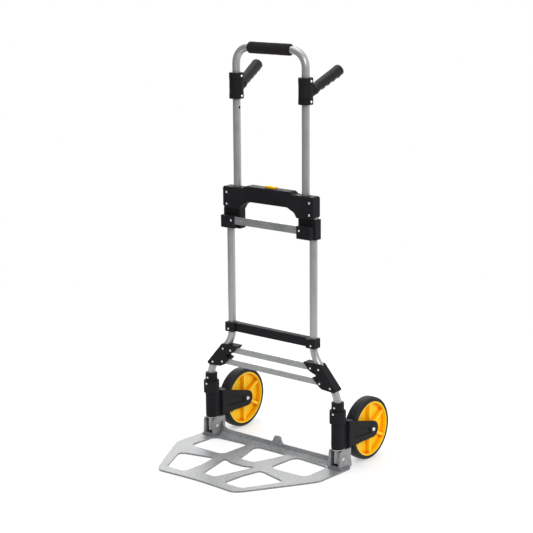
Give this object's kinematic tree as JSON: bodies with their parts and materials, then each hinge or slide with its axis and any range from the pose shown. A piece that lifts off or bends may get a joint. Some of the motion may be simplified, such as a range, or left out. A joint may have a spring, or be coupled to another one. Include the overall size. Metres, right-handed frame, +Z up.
{
  "type": "folding hand truck",
  "caption": "Folding hand truck with a telescopic loop handle, swivelling side grips, a fold-up pierced toe plate and wheels that swing in as it folds.",
  "frame": {"origin": "on the ground, on the underside of the toe plate's rear rib, midway between the columns and straight under the fold pins", "axes": "+X across the truck, -Y the way the toe plate points, +Z up; the frame leans 2.5 degrees over the toe plate"},
  "size_m": [0.572, 0.6258, 1.2948],
  "materials": {
    "black_plastic": "fine-grained black moulding",
    "bush_nylon": "pale nylon",
    "cast_alloy": "grey, lightly grained casting",
    "flat_bar": "brushed flat strip",
    "foam": "fine-celled black foam",
    "grip_rubber": "soft black rubber with finger ridges",
    "pin_steel": "plated steel",
    "rivet_steel": "bright domed heads",
    "satin_tube": "satin silver powder coat on drawn tube",
    "spring_steel": "drawn spring wire",
    "tyre": "matt black rubber tread",
    "yellow_button": "moulded yellow plastic",
    "yellow_rim": "moulded yellow plastic"
  },
  "bodies": {
    "frame": {"lower_tube_left": "satin_tube", "lower_tube_right": "satin_tube", "crossbar_front_shell": "black_plastic", "crossbar_rear_shell": "black_plastic", "crossbar_rivets": "rivet_steel", "lower_crossbar": "black_plastic", "lower_crossbar_rivets": "rivet_steel", "gusset_left": "black_plastic", "gusset_right": "black_plastic", "upper_flat_bar": "flat_bar", "lower_flat_bar": "flat_bar", "gusset_rivets": "rivet_steel", "column_collar_left": "black_plastic", "column_collar_right": "black_plastic", "collar_rivets": "rivet_steel", "swing_spring_left": "spring_steel", "swing_spring_right": "spring_steel", "thrust_washer_left": "pin_steel", "thrust_washer_right": "pin_steel", "tube_end_plug_left": "black_plastic", "tube_end_plug_right": "black_plastic", "button_spring": "spring_steel", "lock_spring_left": "spring_steel", "lock_spring_right": "spring_steel"},
    "toe_plate": {"toe_plate": "cast_alloy", "toe_bracket_left": "cast_alloy", "toe_bracket_right": "cast_alloy", "fold_pins": "pin_steel"},
    "handle": {"handle_loop": "satin_tube", "foam_grip": "foam", "slider_flat_bar": "flat_bar", "slider_rivets": "rivet_steel", "ring_rivets": "rivet_steel", "slider_left": "black_plastic", "slider_right": "black_plastic", "grip_upper_ring_left": "black_plastic", "grip_upper_ring_right": "black_plastic", "grip_lower_ring_left": "black_plastic", "grip_lower_ring_right": "black_plastic"},
    "release_button": {"release_button": "yellow_button"},
    "wheel_fork_left": {"wheel_fork_left": "black_plastic", "axle_left": "pin_steel"},
    "wheel_left": {"wheel_rim_left": "yellow_rim", "tyre_left": "tyre", "wheel_bush_left": "bush_nylon"},
    "side_grip_left": {"grip_arm_left": "black_plastic", "grip_sleeve_left": "grip_rubber"},
    "lock_pin_left": {"lock_pin_left": "pin_steel"},
    "wheel_fork_right": {"wheel_fork_right": "black_plastic", "axle_right": "pin_steel"},
    "wheel_right": {"wheel_rim_right": "yellow_rim", "tyre_right": "tyre", "wheel_bush_right": "bush_nylon"},
    "side_grip_right": {"grip_arm_right": "black_plastic", "grip_sleeve_right": "grip_rubber"},
    "lock_pin_right": {"lock_pin_right": "pin_steel"}
  },
  "joints": [
    {"name": "toe_plate_fold", "type": "hinge", "parent": "frame", "child": "toe_plate", "pos_m": [0, 0, 0.037], "axis": [-1, 0, 0], "range_deg": [0, 87.5]},
    {"name": "handle_slide", "type": "slide", "parent": "frame", "child": "handle", "axis": [0, 0.0436, -0.999], "range_m": [0, 0.268]},
    {"name": "release_button_press", "type": "slide", "parent": "frame", "child": "release_button", "axis": [0, 0.0436, -0.999], "range_m": [0, 0.005], "stiffness_N_per_m": 600, "springref_m": -0.003, "deforming": ["button_spring"]},
    {"name": "wheel_swing_left", "type": "hinge", "parent": "frame", "child": "wheel_fork_left", "pos_m": [-0.254, -0.00262, 0.09694], "axis": [0, 0.0436, -0.999], "range_deg": [0, 85]},
    {"name": "wheel_spin_left", "type": "hinge", "parent": "wheel_fork_left", "child": "wheel_left", "pos_m": [-0.255, 0.1499, 0.1], "axis": [1, 0, 0], "continuous": true},
    {"name": "side_grip_swivel_left", "type": "hinge", "parent": "handle", "child": "side_grip_left", "pos_m": [-0.133, -0.04842, 1.14594], "axis": [0, 0.0436, -0.999], "range_deg": [-76, 66]},
    {"name": "lock_pin_draw_left", "type": "slide", "parent": "frame", "child": "lock_pin_left", "axis": [1, 0, 0], "range_m": [0, 0.005]},
    {"name": "wheel_swing_right", "type": "hinge", "parent": "frame", "child": "wheel_fork_right", "pos_m": [0.254, -0.00262, 0.09694], "axis": [0, -0.0436, 0.999], "range_deg": [0, 85]},
    {"name": "wheel_spin_right", "type": "hinge", "parent": "wheel_fork_right", "child": "wheel_right", "pos_m": [0.255, 0.1499, 0.1], "axis": [1, 0, 0], "continuous": true},
    {"name": "side_grip_swivel_right", "type": "hinge", "parent": "handle", "child": "side_grip_right", "pos_m": [0.133, -0.04842, 1.14594], "axis": [0, -0.0436, 0.999], "range_deg": [-76, 66]},
    {"name": "lock_pin_draw_right", "type": "slide", "parent": "frame", "child": "lock_pin_right", "axis": [-1, 0, 0], "range_m": [0, 0.005]}
  ],
  "couplings": [
    {"joint": "wheel_swing_left", "follows": "toe_plate_fold", "ratio": 0.9714},
    {"joint": "lock_pin_draw_left", "follows": "release_button_press", "ratio": 1},
    {"joint": "wheel_swing_right", "follows": "toe_plate_fold", "ratio": 0.9714},
    {"joint": "lock_pin_draw_right", "follows": "release_button_press", "ratio": 1}
  ]
}
